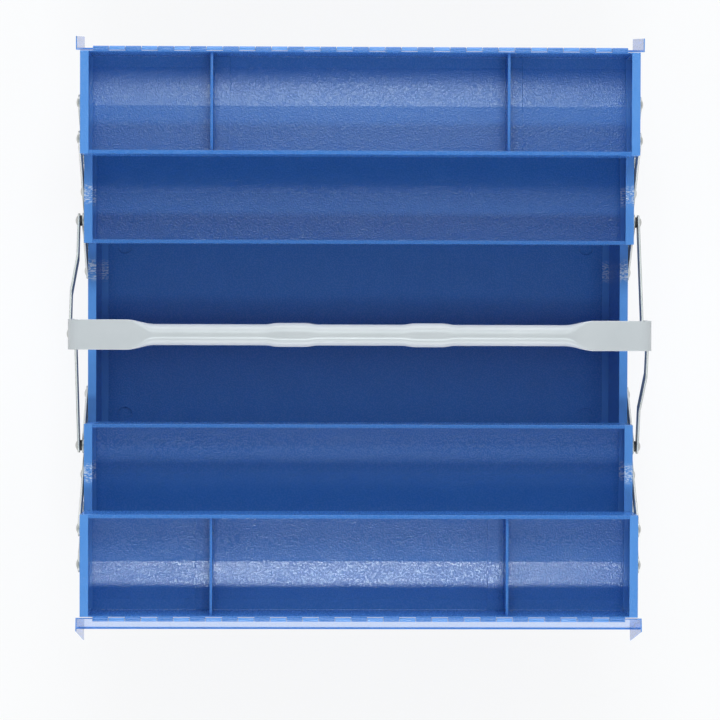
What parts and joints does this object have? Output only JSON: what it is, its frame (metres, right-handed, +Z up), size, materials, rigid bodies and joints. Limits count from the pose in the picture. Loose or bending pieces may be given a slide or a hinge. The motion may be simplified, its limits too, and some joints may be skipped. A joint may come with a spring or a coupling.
{
  "type": "tool box",
  "caption": "Open cantilever tool box of sheet steel with swing-out trays on flat arms, hanging lids and a central carrying handle.",
  "frame": {"origin": "on the ground under the middle of the base", "axes": "+X along the box, +Y towards its rear trays, +Z up; the box stands open"},
  "size_m": [0.4336, 0.4569, 0.232],
  "materials": {
    "blue_enamel": "glossy textured stove enamel on sheet steel",
    "plated_arms": "bright nickel or zinc plating",
    "rivet_steel": "plated round rivet heads",
    "hinge_pin_steel": "drawn steel wire",
    "washers": "dark oxide",
    "handle_paint": "silver-grey paint"
  },
  "bodies": {
    "base": {"base_shell": "blue_enamel", "base_left_end": "blue_enamel", "base_right_end": "blue_enamel", "base_rivets": "rivet_steel", "base_washers": "washers"},
    "rear_long_arms": {"rear_left_long_arm": "plated_arms", "rear_right_long_arm": "plated_arms"},
    "rear_lower_arms": {"rear_left_lower_arm": "plated_arms", "rear_right_lower_arm": "plated_arms"},
    "rear_upper_arms": {"rear_left_upper_arm": "plated_arms", "rear_right_upper_arm": "plated_arms"},
    "rear_middle_tray": {"rear_middle_tray_shell": "blue_enamel", "rear_middle_tray_left_end": "blue_enamel", "rear_middle_tray_right_end": "blue_enamel", "rear_middle_tray_rivets": "rivet_steel", "rear_middle_tray_washers": "washers"},
    "rear_top_tray": {"rear_top_tray_shell": "blue_enamel", "rear_top_tray_left_end": "blue_enamel", "rear_top_tray_right_end": "blue_enamel", "rear_top_tray_rivets": "rivet_steel", "rear_top_tray_washers": "washers", "rear_left_divider": "blue_enamel", "rear_right_divider": "blue_enamel", "rear_lid_hinge_pin": "hinge_pin_steel"},
    "rear_lid": {"rear_lid": "blue_enamel"},
    "rear_handle_straps": {"rear_left_handle_strap": "plated_arms", "rear_right_handle_strap": "plated_arms"},
    "front_long_arms": {"front_left_long_arm": "plated_arms", "front_right_long_arm": "plated_arms"},
    "front_lower_arms": {"front_left_lower_arm": "plated_arms", "front_right_lower_arm": "plated_arms"},
    "front_upper_arms": {"front_left_upper_arm": "plated_arms", "front_right_upper_arm": "plated_arms"},
    "front_middle_tray": {"front_middle_tray_shell": "blue_enamel", "front_middle_tray_left_end": "blue_enamel", "front_middle_tray_right_end": "blue_enamel", "front_middle_tray_rivets": "rivet_steel", "front_middle_tray_washers": "washers"},
    "front_top_tray": {"front_top_tray_shell": "blue_enamel", "front_top_tray_left_end": "blue_enamel", "front_top_tray_right_end": "blue_enamel", "front_top_tray_rivets": "rivet_steel", "front_top_tray_washers": "washers", "front_left_divider": "blue_enamel", "front_right_divider": "blue_enamel", "front_lid_hinge_pin": "hinge_pin_steel"},
    "front_lid": {"front_lid": "blue_enamel"},
    "front_handle_straps": {"front_left_handle_strap": "plated_arms", "front_right_handle_strap": "plated_arms", "front_strap_studs": "rivet_steel"},
    "handle": {"handle": "handle_paint", "handle_rivets": "rivet_steel"}
  },
  "joints": [
    {"name": "rear_long_arm_swing", "type": "hinge", "parent": "base", "child": "rear_long_arms", "pos_m": [0, 0.0687, 0.119], "axis": [1, 0, 0], "range_deg": [0, 73.4]},
    {"name": "rear_middle_tray_level", "type": "hinge", "parent": "rear_long_arms", "child": "rear_middle_tray", "pos_m": [0, 0.10621, 0.15922], "axis": [1, 0, 0], "range_deg": [-73.4, 0]},
    {"name": "rear_top_tray_level", "type": "hinge", "parent": "rear_long_arms", "child": "rear_top_tray", "pos_m": [0, 0.14372, 0.19945], "axis": [1, 0, 0], "range_deg": [-73.4, 0]},
    {"name": "rear_lower_arm_swing", "type": "hinge", "parent": "base", "child": "rear_lower_arms", "pos_m": [0, 0.0469, 0.119], "axis": [1, 0, 0], "range_deg": [0, 73.4]},
    {"name": "rear_upper_arm_swing", "type": "hinge", "parent": "rear_middle_tray", "child": "rear_upper_arms", "pos_m": [0, 0.13281, 0.15922], "axis": [1, 0, 0], "range_deg": [0, 73.4]},
    {"name": "rear_handle_strap_swing", "type": "hinge", "parent": "rear_middle_tray", "child": "rear_handle_straps", "pos_m": [0, 0.08441, 0.15922], "axis": [1, 0, 0], "range_deg": [-57.18, 0]},
    {"name": "rear_lid_hinge", "type": "hinge", "parent": "rear_top_tray", "child": "rear_lid", "pos_m": [0, 0.20918, 0.21905], "axis": [1, 0, 0], "range_deg": [0, 265.5]},
    {"name": "front_long_arm_swing", "type": "hinge", "parent": "base", "child": "front_long_arms", "pos_m": [0, -0.0687, 0.119], "axis": [-1, 0, 0], "range_deg": [0, 73.4]},
    {"name": "front_middle_tray_level", "type": "hinge", "parent": "front_long_arms", "child": "front_middle_tray", "pos_m": [0, -0.10621, 0.15922], "axis": [-1, 0, 0], "range_deg": [-73.4, 0]},
    {"name": "front_top_tray_level", "type": "hinge", "parent": "front_long_arms", "child": "front_top_tray", "pos_m": [0, -0.14372, 0.19945], "axis": [-1, 0, 0], "range_deg": [-73.4, 0]},
    {"name": "front_lower_arm_swing", "type": "hinge", "parent": "base", "child": "front_lower_arms", "pos_m": [0, -0.0469, 0.119], "axis": [-1, 0, 0], "range_deg": [0, 73.4]},
    {"name": "front_upper_arm_swing", "type": "hinge", "parent": "front_middle_tray", "child": "front_upper_arms", "pos_m": [0, -0.13281, 0.15922], "axis": [-1, 0, 0], "range_deg": [0, 73.4]},
    {"name": "front_handle_strap_swing", "type": "hinge", "parent": "front_middle_tray", "child": "front_handle_straps", "pos_m": [0, -0.08441, 0.15922], "axis": [-1, 0, 0], "range_deg": [-57.18, 0]},
    {"name": "front_lid_hinge", "type": "hinge", "parent": "front_top_tray", "child": "front_lid", "pos_m": [0, -0.20918, 0.21905], "axis": [-1, 0, 0], "range_deg": [0, 258.5]},
    {"name": "handle_on_rear_straps", "type": "hinge", "parent": "rear_handle_straps", "child": "handle", "pos_m": [0, 0, 0.19102], "axis": [1, 0, 0], "range_deg": [0, 57.18]}
  ],
  "couplings": [
    {"joint": "rear_middle_tray_level", "follows": "rear_long_arm_swing", "ratio": -1},
    {"joint": "rear_top_tray_level", "follows": "rear_long_arm_swing", "ratio": -1},
    {"joint": "rear_lower_arm_swing", "follows": "rear_long_arm_swing", "ratio": 1},
    {"joint": "rear_upper_arm_swing", "follows": "rear_long_arm_swing", "ratio": 1},
    {"joint": "rear_handle_strap_swing", "follows": "rear_long_arm_swing", "ratio": -0.77869},
    {"joint": "front_long_arm_swing", "follows": "rear_long_arm_swing", "ratio": 1},
    {"joint": "front_middle_tray_level", "follows": "rear_long_arm_swing", "ratio": -1},
    {"joint": "front_top_tray_level", "follows": "rear_long_arm_swing", "ratio": -1},
    {"joint": "front_lower_arm_swing", "follows": "rear_long_arm_swing", "ratio": 1},
    {"joint": "front_upper_arm_swing", "follows": "rear_long_arm_swing", "ratio": 1},
    {"joint": "front_handle_strap_swing", "follows": "rear_long_arm_swing", "ratio": -0.77869},
    {"joint": "handle_on_rear_straps", "follows": "rear_long_arm_swing", "ratio": 0.77869}
  ]
}
